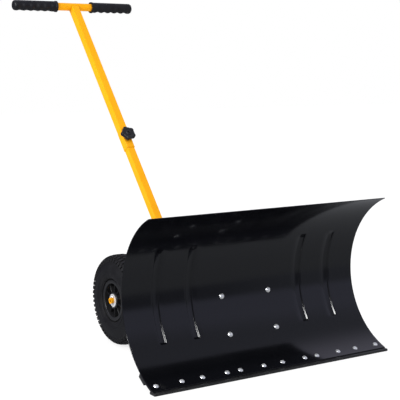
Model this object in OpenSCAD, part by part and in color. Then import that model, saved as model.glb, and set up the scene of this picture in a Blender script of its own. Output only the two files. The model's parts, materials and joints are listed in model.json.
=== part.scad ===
// Wheeled snow shovel: a curved steel blade on a two-wheeled chassis, with a telescopic T-handle.
// Millimetres. The origin is the middle of the scraper's flat underside, on the ground.
// +Y runs back to the user and +Z is up. Left (-X) and right (+X) are as seen from in front of the blade.

/* [Blade] */
// Width of the blade and of its row of scraper strips
blade_w = 740; // [720:10:760]
// Radius of the blade's front face
blade_r = 220; // [216:1:224]
// Thickness of the blade sheet
blade_t = 2; // [1.5:0.5:2.5]
// Angle of the blade's top edge above the middle of its curve
blade_top_a = 67.4; // [60:0.2:72]
// Width of each pressed stiffening rib
rib_w = 20; // [16:1:24]

/* [Wheels] */
// Outside diameter of each tyre
tyre_d = 254; // [252:1:256]
// Section width of each tyre
tyre_w = 80; // [78:1:84]
// Distance from the middle of the shovel to the middle of each wheel
wheel_x = 201; // [190:1:206]
// Number of stiffening ribs on each face of a rim
rim_ribs = 10; // [5:5:10]

/* [Handle] */
// Angle of the pole above the ground
pole_a = 50; // [49:0.2:51]
// Distance from the foot of the pole to the middle of the crossbar
pole_len = 1086; // [1070:2:1100]
// Outside width of the square upper pole
upper_w = 26.5; // [26:0.5:27]
// Length of the crossbar over the grips
bar_len = 440; // [420:10:480]
// Length of each grip
grip_len = 160; // [140:5:170]
// Outside diameter of the grips
grip_d = 34; // [32:1:36]

/* [Steering] */
// Furthest that the blade swings to either side
swing_a = 30; // [20:1:30]
// Distance from the blade pivot to the clamp stud
slot_r = 75; // [70:1:80]

/* [Hidden] */
$fn = 96;

yellow = [0.98, 0.70, 0.06];
black_paint = [0.03, 0.03, 0.035];
black_rubber = [0.05, 0.05, 0.055];
black_plastic = [0.06, 0.06, 0.07];
zinc = [0.80, 0.81, 0.83];
brass = [0.78, 0.62, 0.28];

run_gap = 0.05;   // radial clearance of a running fit
touch_gap = 0.05; // gap kept between faces that rest on each other

// Blade curve: its axis runs along X through arc_y, arc_z, and angle 0 points back along +Y
blade_bottom_a = -71;
arc_y = -73.6;
arc_z = 216.5;
blade_back_r = blade_r + blade_t;
rib_x = [-275, -176, 176, 275];
rib_top_a = 30;
rib_bottom_a = -36.4;
rib_depth = 4;
rib_slope = 3; // how far each rib wall leans over its depth

// Scraper strips
strip_count = 3;
strip_pitch = blade_w / strip_count;
strip_gap = 0.7;
strip_bolt_x = [-103, -30, 30, 103];
strip_bolt_a = -65.9;
strip_r = blade_back_r + touch_gap;
strip_bottom_a = blade_bottom_a - 0.15;
bead_top_a = -53;
bead_bottom_a = -60.5;
web_end_a = -68.3;
arc_steps = 18;
web_steps = 8;
sole_w = 24;
sole_h = 6.2;
web_t = 3;
bead_h = 11;

// Fasteners: M6 for the scraper and the rims, M8 for the bracket and the pole
m6 = 6;
m8 = 8;
m6_flats = 10;
m6_nut_h = 5;
m6_head_d = 13.5;
m6_head_h = 3.4;
m8_flats = 13;
m8_nut_h = 7;
m8_head_d = 15;
m8_head_h = 4.2;
m8_bolt_head_h = 5.3;
hole_gap = 0.6;   // how much wider a bolt hole is than its bolt
head_lift = 0.15; // a flat head stands this far off the hollow blade

// Blade bracket and its pivot
saddle_w = 190;
saddle_t = 4;
saddle_r = blade_back_r + touch_gap;
saddle_back_r = saddle_r + saddle_t;
saddle_a = [-45, -2];
bracket_x = 75;
bracket_a = [-10.2, -36.8];
pivot_y = 205;
pivot_d = 12;
pivot_flats = 19;
pivot_head_h = 7.5;
pivot_nut_h = 11;
pivot_tail = 17; // how far the pivot bolt runs on below the lower ear
boss_d = 40;
ear_t = 5;
ear_gap = 1;
ear_half = 50;
ear_front_y = 105;
lower_ear_r = 24;
lower_pad = 60;
web_x = 42;
web_plate_t = 4;
web_len = 55;
weld_gap = 0.05;
pivot_washer_t = 2.5;

// Chassis
axle_y = 452;
axle_z = tyre_d / 2;
beam_w = 40;
beam_t = 2.5;
beam_top = axle_z + beam_w / 2;
beam_bottom = axle_z - beam_w / 2;
beam_back = axle_y + 24;
upper_ear_z = beam_top + ear_gap;
lower_ear_z = beam_bottom - ear_gap - ear_t;
quadrant_r = slot_r + 17;
axle_d = 16;
axle_bore = 10;
hub_len = 60;
hub_end = wheel_x + hub_len / 2;
washer_t = 2;
axle_end = hub_end + 10;
pin_x = hub_end + 5;
pin_d = 3.2;
spacer_d = 22;
hub_washer_d = 37;
inner_washer_d = 34;
gusset_t = 4;
gusset_x = 110;
gusset_len = 90;
gusset_tip = 16;

// Pole: stations are distances along it from its foot, which sits above the axle
pole_z = axle_z + 14;
lower_w = upper_w - 2.2;
lower_wall = 1.2;
upper_bore = upper_w - 2;
lower_start = 25;
lower_end = 890;
pole_bolt_s = [48, 94];
plate_gap = 0.2;
plate_t = 4;
plate_end = 112;
plate_half = 15;
collar_start = 500;
collar_len = 58;
collar_w = 29.5;
collar_gap = 0.05;
knob_s = collar_start + 36;
bar_d = 25.4;
bar_wall = 1.5;
saddle_back = 4; // how far below the bar's axis the upper pole ends
grip_hollows = 5;
hollow_depth = 2.2;

// Star knobs
knob_h = 12;
knob_lobe = 7.6;
knob_lobe_r = 15.4;
knob_hub = 15;
knob_seat = collar_w / 2 + 3.5;
clamp_d = 10;
insert_d = 18;
insert_h = 8;
clamp_seat = upper_ear_z + ear_t + touch_gap + washer_t + 0.15;

// Wheel section: radii from the axle, and widths from the middle of the wheel
rim_r = 50;
rim_wall = 2.5;
rim_web_t = 3;
flange_r = 59;
flange_in = 22;
flange_out = 30;
hub_r = 22;
hub_bore_r = 11;
bearing_r = 17.5;
bearing_w = 11;
rib_t = 2.4;
rim_bolt_r = 34;
rim_bolts_n = 5;
half_rib_a = 180 / rim_ribs;
tyre_wall = 6;
tube_inset = 7;
tube_wall = 2;
valve_d = 8;
valve_x = 8;
tread_n = 30;
tread_depth = 6;

// ---------- helpers ----------

// Outline of a rectangle with rounded corners
function round_rect(w, h, r, n = 5) = [
    for (c = [0 : 3], i = [0 : n])
        let (a = 90 * c + 90 * i / n, sx = (c == 0 || c == 3) ? 1 : -1, sy = (c < 2) ? 1 : -1)
            [sx * (w / 2 - r) + r * cos(a), sy * (h / 2 - r) + r * sin(a)]
];

// Rounds a sine or cosine so that a circle drawn with it becomes a squared-off oval
function squared(v) = sign(v) * pow(abs(v), 2 / 2.6);

// A point of the tyre's section, as [radius, width], from the middle of the tread (0) to the rim (180)
function tyre_point(a, inset) =
    let (middle = (tyre_d / 2 + rim_r + 2) / 2, half_r = (tyre_d / 2 - rim_r - 2) / 2)
        [middle + (half_r - inset) * squared(cos(a)), (tyre_w / 2 - inset) * squared(sin(a))];

// A [Y, Z] point at an angle and radius of the blade's curve
function arc_point(a, r) = [arc_y + r * cos(a), arc_z + r * sin(a)];

// Points along the blade's curve from angle a0 to angle a1, at one radius
function arc_points(a0, a1, r, steps) = [for (i = [0 : steps]) arc_point(a0 + i * (a1 - a0) / steps, r)];

// A point of the pole's side view, at station s and height o above its axis
function on_pole_yz(s, o) = [
    axle_y + s * cos(pole_a) - o * sin(pole_a),
    pole_z + s * sin(pole_a) + o * cos(pole_a)
];

// Sweeps a [radius, x] outline round the blade's axis
module arc_sweep(a0, a1) {
    translate([0, arc_y, arc_z])
        rotate([90, 0, 90])
            rotate([0, 0, a0])
                rotate_extrude(angle = a1 - a0) children();
}

// Moves to a point of the blade, with Z pointing out of its back
module on_blade(a, x, r) {
    translate([x, arc_y, arc_z])
        rotate([a - 90, 0, 0])
            translate([0, 0, r]) children();
}

// Moves to a station of the pole, with Z along it and -Y out of its front face
module on_pole(s) {
    translate([0, axle_y, pole_z])
        rotate([pole_a - 90, 0, 0])
            translate([0, 0, s]) children();
}

// Moves to the axle's height, turned so that Z runs along +X
module on_axle(x = 0) {
    translate([x, axle_y, axle_z])
        rotate([0, 90, 0]) children();
}

module mirror_x() {
    children();
    mirror([1, 0, 0]) children();
}

module square_tube(w, bore, len, r) {
    linear_extrude(len)
        difference() {
            polygon(round_rect(w, w, r));
            polygon(round_rect(bore, bore, max(r - (w - bore) / 2, 0.5)));
        }
}

module ring(od, id, h) {
    difference() {
        cylinder(d = od, h = h);
        translate([0, 0, -1]) cylinder(d = id, h = h + 2);
    }
}

// Round-headed bolt: the head stands below Z 0 and the shank above it
module dome_bolt(d, head_d, head_h, len) {
    ball_r = (head_d * head_d / 4 + head_h * head_h) / (2 * head_h);
    intersection() {
        translate([0, 0, ball_r - head_h]) sphere(ball_r);
        translate([0, 0, -head_h]) cylinder(d = head_d, h = head_h);
    }
    cylinder(d = d, h = len);
}

module hex_nut(d, flats, h) {
    difference() {
        cylinder(r = flats / sqrt(3), h = h, $fn = 6);
        translate([0, 0, -1]) cylinder(d = d + 2 * run_gap, h = h + 2);
    }
}

module hex_bolt(d, flats, head_h, len) {
    translate([0, 0, -head_h]) cylinder(r = flats / sqrt(3), h = head_h, $fn = 6);
    cylinder(d = d, h = len);
}

// ---------- blade ----------

module sheet() {
    arc_sweep(blade_bottom_a, blade_top_a)
        translate([blade_r, -blade_w / 2]) square([blade_t, blade_w]);
}

// One pressed rib: grow enlarges it, so that its back is the front's shape plus the sheet
module rib_form(x, base_r, grow) {
    half = rib_w / 2 + grow;
    end_a = grow * 180 / (PI * blade_r);
    arc_sweep(rib_bottom_a - end_a, rib_top_a + end_a)
        polygon([
            [base_r, x - half], [base_r, x + half],
            [base_r + rib_depth, x + half - rib_slope], [base_r + rib_depth, x - half + rib_slope]
        ]);
}

module blade() {
    color(black_paint)
        difference() {
            union() {
                sheet();
                for (x = rib_x) rib_form(x, blade_back_r - 0.5, 1);
            }
            for (x = rib_x) rib_form(x, blade_r - 0.5, -1);
            for (s = [-1 : 1], x = strip_bolt_x)
                on_blade(strip_bolt_a, s * strip_pitch + x, blade_r - 2)
                    cylinder(d = m6 + hole_gap, h = blade_t + 4);
            for (a = bracket_a, side = [-1, 1])
                on_blade(a, side * bracket_x, blade_r - 2)
                    cylinder(d = m8 + hole_gap, h = blade_t + 4);
        }
}

// ---------- scraper ----------

// Section of a strip, as [Y, Z] points: up its curved inner face, back down the bead and web, then the sole
function scraper_section() = concat(
    arc_points(strip_bottom_a, bead_top_a, strip_r, arc_steps),
    [arc_point(bead_top_a - 0.5, strip_r + bead_h), arc_point(bead_bottom_a, strip_r + bead_h)],
    arc_points(bead_bottom_a, web_end_a, strip_r + web_t, web_steps),
    [[sole_w / 2, sole_h], [sole_w / 2, 0], [-sole_w / 2, 0], [-sole_w / 2, sole_h]]
);

// One strip: slot_no is -1, 0 or 1
module scraper(slot_no) {
    len = strip_pitch - strip_gap;
    color(black_rubber)
        difference() {
            translate([slot_no * strip_pitch - len / 2, 0, 0])
                rotate([90, 0, 90]) linear_extrude(len) polygon(scraper_section());
            for (x = strip_bolt_x)
                on_blade(strip_bolt_a, slot_no * strip_pitch + x, strip_r - 1)
                    cylinder(d = m6 + hole_gap, h = web_t + 2);
        }
}

module scraper_bolts() {
    color(zinc)
        for (s = [-1 : 1], x = strip_bolt_x)
            on_blade(strip_bolt_a, s * strip_pitch + x, blade_r - head_lift)
                dome_bolt(m6, m6_head_d, m6_head_h, blade_t + web_t + m6_nut_h + 2.4);
}

module scraper_nuts() {
    color(zinc)
        for (s = [-1 : 1], x = strip_bolt_x)
            on_blade(strip_bolt_a, s * strip_pitch + x, strip_r + web_t + touch_gap)
                hex_nut(m6, m6_flats, m6_nut_h);
}

// ---------- blade bracket ----------

module bracket_saddle() {
    color(yellow)
        difference() {
            arc_sweep(saddle_a[0], saddle_a[1])
                translate([saddle_r, -saddle_w / 2]) square([saddle_t, saddle_w]);
            for (a = bracket_a, side = [-1, 1])
                on_blade(a, side * bracket_x, saddle_r - 1)
                    cylinder(d = m8 + hole_gap, h = saddle_t + 2);
        }
}

// Everything in front of the saddle's back face, cut away from the ears and webs
module saddle_front() {
    translate([-saddle_w, arc_y, arc_z])
        rotate([0, 90, 0]) cylinder(r = saddle_back_r + weld_gap, h = 2 * saddle_w);
}

// Upper ear: a fan of plate with a curved slot for the clamp stud
module swing_quadrant() {
    slot_w = clamp_d + 0.6;
    slot_a = swing_a + 5;
    fan_a = slot_a + 8;
    reach = 2 * quadrant_r;
    color(yellow)
        difference() {
            translate([0, 0, upper_ear_z])
                union() {
                    translate([0, pivot_y, 0])
                        intersection() {
                            cylinder(r = quadrant_r, h = ear_t);
                            linear_extrude(ear_t)
                                polygon([[0, 0], [reach * sin(fan_a), reach * cos(fan_a)],
                                         [-reach * sin(fan_a), reach * cos(fan_a)]]);
                        }
                    translate([0, pivot_y, 0]) cylinder(r = ear_half, h = ear_t);
                    translate([-ear_half, ear_front_y, 0])
                        cube([2 * ear_half, pivot_y - ear_front_y, ear_t]);
                }
            saddle_front();
            translate([0, pivot_y, upper_ear_z - 1]) cylinder(d = pivot_d + 2 * run_gap, h = ear_t + 2);
            translate([0, pivot_y, upper_ear_z - 1])
                rotate([0, 0, 90 - slot_a])
                    rotate_extrude(angle = 2 * slot_a)
                        translate([slot_r - slot_w / 2, 0]) square([slot_w, ear_t + 2]);
        }
}

module bracket_lower_ear() {
    color(yellow)
        difference() {
            translate([0, 0, lower_ear_z])
                union() {
                    translate([0, pivot_y, 0]) cylinder(r = lower_ear_r, h = ear_t);
                    translate([-lower_ear_r, ear_front_y, 0])
                        cube([2 * lower_ear_r, pivot_y - ear_front_y, ear_t]);
                    translate([-ear_half, ear_front_y, 0]) cube([2 * ear_half, lower_pad, ear_t]);
                }
            saddle_front();
            translate([0, pivot_y, lower_ear_z - 1]) cylinder(d = pivot_d + 2 * run_gap, h = ear_t + 2);
        }
}

module bracket_webs() {
    low = lower_ear_z + ear_t + weld_gap;
    color(yellow)
        mirror_x()
            difference() {
                translate([web_x, ear_front_y, low])
                    cube([web_plate_t, web_len, upper_ear_z - weld_gap - low]);
                saddle_front();
            }
}

module bracket_bolts() {
    color(zinc)
        for (a = bracket_a, side = [-1, 1])
            on_blade(a, side * bracket_x, blade_r - head_lift)
                dome_bolt(m8, m8_head_d, m8_head_h, blade_t + saddle_t + m8_nut_h + 5);
}

module bracket_nuts() {
    color(zinc)
        for (a = bracket_a, side = [-1, 1])
            on_blade(a, side * bracket_x, saddle_back_r + touch_gap)
                hex_nut(m8, m8_flats, m8_nut_h);
}

// ---------- chassis ----------

// Square drawbar with a round pivot boss at its front end
module drawbar() {
    color(yellow)
        difference() {
            union() {
                translate([0, pivot_y, beam_bottom]) cylinder(d = boss_d, h = beam_w);
                translate([0, pivot_y, axle_z])
                    rotate([-90, 0, 0])
                        linear_extrude(beam_back - pivot_y) polygon(round_rect(beam_w, beam_w, 4));
            }
            translate([0, pivot_y + boss_d / 2, axle_z])
                rotate([-90, 0, 0])
                    linear_extrude(beam_back - pivot_y)
                        polygon(round_rect(beam_w - 2 * beam_t, beam_w - 2 * beam_t, 2));
            translate([0, pivot_y, beam_bottom - 1]) cylinder(d = pivot_d + 2 * run_gap, h = beam_w + 2);
            on_axle(-beam_w) cylinder(d = axle_d + 2 * run_gap, h = 2 * beam_w);
        }
}

module drawbar_cap() {
    inner = beam_w - 2 * beam_t - 0.3;
    color(black_plastic)
        translate([0, beam_back + touch_gap, axle_z])
            rotate([-90, 0, 0])
                union() {
                    linear_extrude(3) polygon(round_rect(beam_w, beam_w, 4));
                    translate([0, 0, -12]) linear_extrude(12.5) polygon(round_rect(inner, inner, 2));
                }
}

module axle() {
    color(yellow)
        difference() {
            on_axle(-axle_end) ring(axle_d, axle_bore, 2 * axle_end);
            mirror_x()
                translate([pin_x, axle_y, axle_z - axle_d]) cylinder(d = pin_d + 0.4, h = 2 * axle_d);
        }
}

module axle_spacers() {
    start = beam_w / 2 + touch_gap;
    color(yellow)
        mirror_x()
            on_axle(start)
                ring(spacer_d, axle_d + 0.2, wheel_x - hub_len / 2 - washer_t - 2 * touch_gap - start);
}

module axle_gussets() {
    beam_x = beam_w / 2 + weld_gap;
    color(yellow)
        mirror_x()
            difference() {
                translate([0, 0, axle_z - gusset_t / 2])
                    linear_extrude(gusset_t)
                        polygon([
                            [beam_x, axle_y - gusset_len], [beam_x, axle_y],
                            [gusset_x, axle_y], [gusset_x, axle_y - gusset_tip]
                        ]);
                on_axle(0) cylinder(d = spacer_d + 2 * weld_gap, h = 2 * gusset_x);
            }
}

module axle_washers() {
    color(zinc)
        mirror_x() {
            on_axle(wheel_x - hub_len / 2 - washer_t - touch_gap)
                ring(inner_washer_d, axle_d + 0.4, washer_t);
            on_axle(hub_end + touch_gap) ring(hub_washer_d, axle_d + 0.4, washer_t);
        }
}

// Split pin: an eye above the axle, a shank through it and two splayed legs below
module split_pins() {
    eye_r = 3.6;
    wire_d = 0.6 * pin_d;
    leg_len = 9;
    leg_spread = 42;
    split_z = -axle_d / 2 - 3.2;
    color(zinc)
        mirror_x()
            translate([pin_x, axle_y, axle_z]) {
                translate([0, 0, split_z - 0.8]) cylinder(d = pin_d, h = axle_d + 5, $fn = 24);
                translate([0, 0, axle_d / 2 + 0.9 + eye_r])
                    rotate([0, 90, 0])
                        rotate_extrude() translate([eye_r, 0]) circle(d = wire_d, $fn = 16);
                for (side = [-1, 1])
                    translate([0, 0, split_z])
                        rotate([side * leg_spread, 0, 0])
                            translate([0, 0, -leg_len]) cylinder(d = wire_d, h = leg_len, $fn = 24);
            }
}

module pivot_bolt() {
    head_z = upper_ear_z + ear_t + pivot_washer_t + 2 * touch_gap;
    color(zinc)
        translate([0, pivot_y, head_z])
            rotate([180, 0, 0])
                hex_bolt(pivot_d, pivot_flats, pivot_head_h, head_z - lower_ear_z + pivot_tail);
}

module pivot_nut() {
    color(zinc)
        translate([0, pivot_y, lower_ear_z - pivot_washer_t - 2 * touch_gap - pivot_nut_h])
            hex_nut(pivot_d, pivot_flats, pivot_nut_h);
}

module pivot_washers() {
    bore = pivot_d + 0.4;
    color(zinc)
        translate([0, pivot_y, 0]) {
            translate([0, 0, upper_ear_z + ear_t + touch_gap]) ring(24, bore, pivot_washer_t);
            translate([0, 0, beam_top + touch_gap]) ring(36, bore, ear_gap - 2 * touch_gap);
            translate([0, 0, lower_ear_z + ear_t + touch_gap]) ring(36, bore, ear_gap - 2 * touch_gap);
            translate([0, 0, lower_ear_z - touch_gap - pivot_washer_t]) ring(24, bore, pivot_washer_t);
        }
}

module clamp_stud() {
    color(zinc)
        translate([0, pivot_y + slot_r, beam_top + touch_gap])
            cylinder(d = clamp_d, h = clamp_seat + 14 - beam_top);
}

module clamp_washer() {
    color(zinc)
        translate([0, pivot_y + slot_r, upper_ear_z + ear_t + touch_gap])
            ring(28, clamp_d + 0.4, washer_t);
}

// ---------- pole ----------

// Cross hole through the pole's foot, at station s
module pole_hole(s) {
    on_pole(s) rotate([0, 90, 0]) cylinder(d = m8 + 0.3, h = 4 * lower_w, center = true);
}

module pole_brackets() {
    x0 = lower_w / 2 + plate_gap;
    foot_z = beam_top + weld_gap;
    outline = [[axle_y - 36, foot_z], on_pole_yz(plate_end, plate_half), on_pole_yz(plate_end, -plate_half),
               [beam_back - 2, foot_z]];
    color(yellow)
        difference() {
            for (x = [x0, -x0 - plate_t])
                translate([x, 0, 0])
                    rotate([90, 0, 90]) linear_extrude(plate_t) polygon(outline);
            for (s = pole_bolt_s)
                pole_hole(s);
        }
}

module lower_pole() {
    color(yellow)
        difference() {
            on_pole(lower_start)
                square_tube(lower_w, lower_w - 2 * lower_wall, lower_end - lower_start, 2.6);
            for (s = pole_bolt_s)
                pole_hole(s);
        }
}

module pole_plug() {
    inner = lower_w - 2 * lower_wall - 0.2;
    color(black_plastic)
        on_pole(lower_end + touch_gap)
            union() {
                linear_extrude(3) polygon(round_rect(lower_w, lower_w, 2.6));
                translate([0, 0, -18]) linear_extrude(18.5) polygon(round_rect(inner, inner, 1.4));
            }
}

module pole_bolts() {
    half = lower_w / 2 + plate_gap + plate_t + touch_gap;
    color(zinc)
        for (s = pole_bolt_s)
            on_pole(s)
                translate([-half, 0, 0])
                    rotate([0, 90, 0]) hex_bolt(m8, m8_flats, m8_bolt_head_h, 2 * half + m8_nut_h + 4);
}

module pole_nuts() {
    half = lower_w / 2 + plate_gap + plate_t + touch_gap;
    color(zinc)
        for (s = pole_bolt_s)
            on_pole(s) translate([half, 0, 0]) rotate([0, 90, 0]) hex_nut(m8, m8_flats, m8_nut_h);
}

// ---------- handle ----------

// Hole for the knob's stud, out through the front face of the pole
module stud_hole(d) {
    on_pole(knob_s) rotate([90, 0, 0]) cylinder(d = d, h = 40);
}

module upper_pole() {
    color(yellow)
        difference() {
            on_pole(collar_start + 1)
                square_tube(upper_w, upper_bore, pole_len - saddle_back - collar_start - 1, 3);
            stud_hole(m8 + 0.4);
            on_pole(pole_len) rotate([0, 90, 0]) cylinder(d = bar_d + 0.1, h = 100, center = true);
        }
}

module pole_collar() {
    color(yellow)
        difference() {
            on_pole(collar_start) square_tube(collar_w, upper_w + 2 * collar_gap, collar_len, 3.6);
            stud_hole(m8 + 0.4);
        }
}

module collar_nut() {
    color(yellow)
        on_pole(knob_s)
            rotate([90, 0, 0])
                translate([0, 0, collar_w / 2 + touch_gap]) ring(17, m8 + 2 * run_gap, 3);
}

module crossbar() {
    half = bar_len / 2 - 5;
    color(yellow)
        on_pole(pole_len)
            translate([-half, 0, 0]) rotate([0, 90, 0]) ring(bar_d, bar_d - 2 * bar_wall, 2 * half);
}

// Closed-ended rubber sleeve with a collar at its inner end and finger hollows underneath
module grip(side) {
    start = bar_len / 2 - grip_len;
    bar_yz = on_pole_yz(pole_len, 0);
    end_taper = 6;
    hollow_r = 24;
    hollow_pitch = (grip_len - 30) / grip_hollows;
    hollow_x = grip_d / 2 + hollow_r - hollow_depth;
    color(black_rubber)
        mirror([side < 0 ? 1 : 0, 0, 0])
            translate([0, bar_yz[0], bar_yz[1]])
                rotate([0, 90, 0])
                    difference() {
                        translate([0, 0, start])
                            union() {
                                cylinder(d = grip_d + 3, h = 5);
                                cylinder(d = grip_d, h = grip_len - end_taper);
                                translate([0, 0, grip_len - end_taper])
                                    cylinder(d1 = grip_d, d2 = grip_d - 8, h = end_taper);
                            }
                        translate([0, 0, start - 1]) cylinder(d = bar_d + 0.1, h = grip_len - 3.9);
                        for (i = [0 : grip_hollows - 1])
                            translate([hollow_x, 0, start + 18 + (i + 0.5) * hollow_pitch])
                                rotate([90, 0, 0]) cylinder(r = hollow_r, h = 60, center = true);
                    }
}

// ---------- knobs ----------

// Five-lobed knob with its seat at Z 0, a blind hole from below and a hub that stands proud of the lobes
module star_knob(hole_d, hole_h) {
    difference() {
        union() {
            cylinder(r = knob_hub, h = knob_h);
            for (i = [0 : 4])
                rotate([0, 0, 72 * i])
                    translate([knob_lobe_r, 0, 0.8]) cylinder(r = knob_lobe, h = knob_h - 1.6);
        }
        translate([0, 0, -1]) cylinder(d = hole_d, h = hole_h + 1);
    }
}

module pole_knob_stud() {
    tip = lower_w / 2 + 0.1;
    color(zinc)
        on_pole(knob_s)
            rotate([90, 0, 0])
                translate([0, 0, tip]) cylinder(d = m8, h = knob_seat + 9 - tip);
}

module pole_knob() {
    color(black_plastic)
        on_pole(knob_s)
            rotate([90, 0, 0])
                translate([0, 0, knob_seat]) star_knob(m8 + 2 * run_gap, 9.2);
}

module clamp_insert() {
    color(brass)
        translate([0, pivot_y + slot_r, clamp_seat]) ring(insert_d, clamp_d + 2 * run_gap, insert_h);
}

module clamp_knob() {
    color(black_plastic)
        translate([0, pivot_y + slot_r, clamp_seat])
            difference() {
                star_knob(insert_d + 2 * run_gap, insert_h + run_gap);
                translate([0, 0, -1]) cylinder(d = clamp_d + 1, h = knob_h + 2);
            }
}

// ---------- wheels ----------

// Places a wheel part drawn round Z, with its outer face towards +Z
module at_wheel(side) {
    mirror([side < 0 ? 1 : 0, 0, 0]) on_axle(wheel_x) children();
}

// The bead that sits against one flange of the rim, as [radius, width] points; side is 1 or -1
function bead(side) = [
    [flange_r + 2, side * (flange_out + 1)], [flange_r + 0.7, side * (flange_in + 2)],
    [rim_r + 1, side * (flange_in - 0.3)], [rim_r + 1, side * (flange_in - 9)]
];

// The whole tyre section: round the outside from one bead to the other, then back round the inside
function tyre_section() = let (far = bead(-1)) concat(
    [for (a = [-130 : 10 : 130]) tyre_point(a, 0)], bead(1),
    [for (a = [130 : -10 : -130]) tyre_point(a, tyre_wall)], [far[3], far[2], far[1], far[0]]
);

module tyre(side) {
    groove_r = tyre_d / 2 - tread_depth;
    color(black_rubber)
        at_wheel(side)
            difference() {
                rotate_extrude() polygon(tyre_section());
                for (i = [0 : tread_n - 1], end = [-1, 1])
                    rotate([0, 0, (i + end / 4) * 360 / tread_n])
                        translate([groove_r, -3.5, end > 0 ? 14 : -50]) cube([20, 7, 36]);
            }
}

module tube_form(inset) {
    rotate_extrude() polygon([for (a = [0 : 10 : 350]) tyre_point(a, inset)]);
}

// Tube in the tyre, with a valve stem reaching into the rim's outer dish
module inner_tube(side) {
    color(black_rubber)
        at_wheel(side)
            union() {
                difference() {
                    tube_form(tube_inset);
                    tube_form(tube_inset + tube_wall);
                }
                rotate([0, 0, 3 * half_rib_a])
                    translate([hub_r + 12, 0, valve_x])
                        rotate([0, 90, 0]) cylinder(d = valve_d, h = rim_r - hub_r);
            }
}

// Ribbed half of a rim, with its open dish towards +Z
module rim_half() {
    difference() {
        union() {
            rotate_extrude()
                polygon([
                    [hub_bore_r, touch_gap / 2], [rim_r, touch_gap / 2], [rim_r, flange_in],
                    [flange_r, flange_in + 2], [flange_r, flange_out], [rim_r - rim_wall + 1, flange_out],
                    [rim_r - rim_wall, flange_in], [rim_r - rim_wall, rim_web_t], [hub_r, rim_web_t],
                    [hub_r, hub_len / 2], [bearing_r, hub_len / 2], [bearing_r, hub_len / 2 - bearing_w],
                    [hub_bore_r, hub_len / 2 - bearing_w]
                ]);
            for (i = [0 : rim_ribs - 1])
                rotate([0, 0, i * 360 / rim_ribs])
                    translate([0, rib_t / 2, 0])
                        rotate([90, 0, 0])
                            linear_extrude(rib_t)
                                polygon([
                                    [hub_r - 1, rim_web_t - 1], [rim_r - 1, rim_web_t - 1],
                                    [rim_r - 1, flange_in - 2], [hub_r - 1, hub_len / 2 - 2]
                                ]);
        }
        for (i = [0 : rim_bolts_n - 1])
            rotate([0, 0, half_rib_a + i * 360 / rim_bolts_n])
                translate([rim_bolt_r, 0, -1]) cylinder(d = m6 + 0.4, h = rim_web_t + 2);
        translate([0, 0, -touch_gap]) cylinder(r = hub_bore_r, h = hub_len);
    }
}

module rim_outer(side) {
    color(black_plastic)
        at_wheel(side)
            difference() {
                rim_half();
                rotate([0, 0, 3 * half_rib_a])
                    translate([hub_r + 8, 0, valve_x])
                        rotate([0, 90, 0]) cylinder(d = valve_d + hole_gap, h = rim_r);
            }
}

module rim_inner(side) {
    color(black_plastic)
        at_wheel(side)
            mirror([0, 0, 1]) rim_half();
}

module rim_bolts(side) {
    color(zinc)
        at_wheel(side)
            for (i = [0 : rim_bolts_n - 1])
                rotate([0, 0, half_rib_a + i * 360 / rim_bolts_n])
                    translate([rim_bolt_r, 0, -rim_web_t - touch_gap])
                        hex_bolt(m6, m6_flats, 4, 2 * rim_web_t + m6_nut_h + 2);
}

module rim_nuts(side) {
    color(zinc)
        at_wheel(side)
            for (i = [0 : rim_bolts_n - 1])
                rotate([0, 0, half_rib_a + i * 360 / rim_bolts_n])
                    translate([rim_bolt_r, 0, rim_web_t + touch_gap]) hex_nut(m6, m6_flats, m6_nut_h);
}

// One bearing in each end of the hub
module bearings(side) {
    start = hub_len / 2 - bearing_w + touch_gap;
    color(zinc)
        at_wheel(side)
            for (end = [0, 1])
                mirror([0, 0, end])
                    translate([0, 0, start])
                        ring(2 * bearing_r - 0.1, axle_d + 2 * run_gap, bearing_w - touch_gap);
}

blade();
scraper(-1);  // scraper_left
scraper(0);  // scraper_middle
scraper(1);  // scraper_right
scraper_bolts();
scraper_nuts();
bracket_saddle();
swing_quadrant();
bracket_lower_ear();
bracket_webs();
bracket_bolts();
bracket_nuts();
drawbar();
drawbar_cap();
axle();
axle_spacers();
axle_gussets();
axle_washers();
split_pins();
pivot_bolt();
pivot_nut();
pivot_washers();
clamp_stud();
clamp_washer();
pole_brackets();
lower_pole();
pole_plug();
pole_bolts();
pole_nuts();
upper_pole();
pole_collar();
collar_nut();
crossbar();
grip(-1);  // left_grip
grip(1);  // right_grip
pole_knob_stud();
pole_knob();
clamp_insert();
clamp_knob();
tyre(-1);  // left_tyre
inner_tube(-1);  // left_inner_tube
rim_outer(-1);  // left_rim_outer
rim_inner(-1);  // left_rim_inner
rim_bolts(-1);  // left_rim_bolts
rim_nuts(-1);  // left_rim_nuts
bearings(-1);  // left_bearings
tyre(1);  // right_tyre
inner_tube(1);  // right_inner_tube
rim_outer(1);  // right_rim_outer
rim_inner(1);  // right_rim_inner
rim_bolts(1);  // right_rim_bolts
rim_nuts(1);  // right_rim_nuts
bearings(1);  // right_bearings
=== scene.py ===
"""Looks of the wheeled snow shovel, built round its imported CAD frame.

Everything is in metres, in the CAD's own frame: -Y is the way the snow is pushed, +Z is up, and
left (-X) and right (+X) are as seen from in front of the blade.
"""

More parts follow.
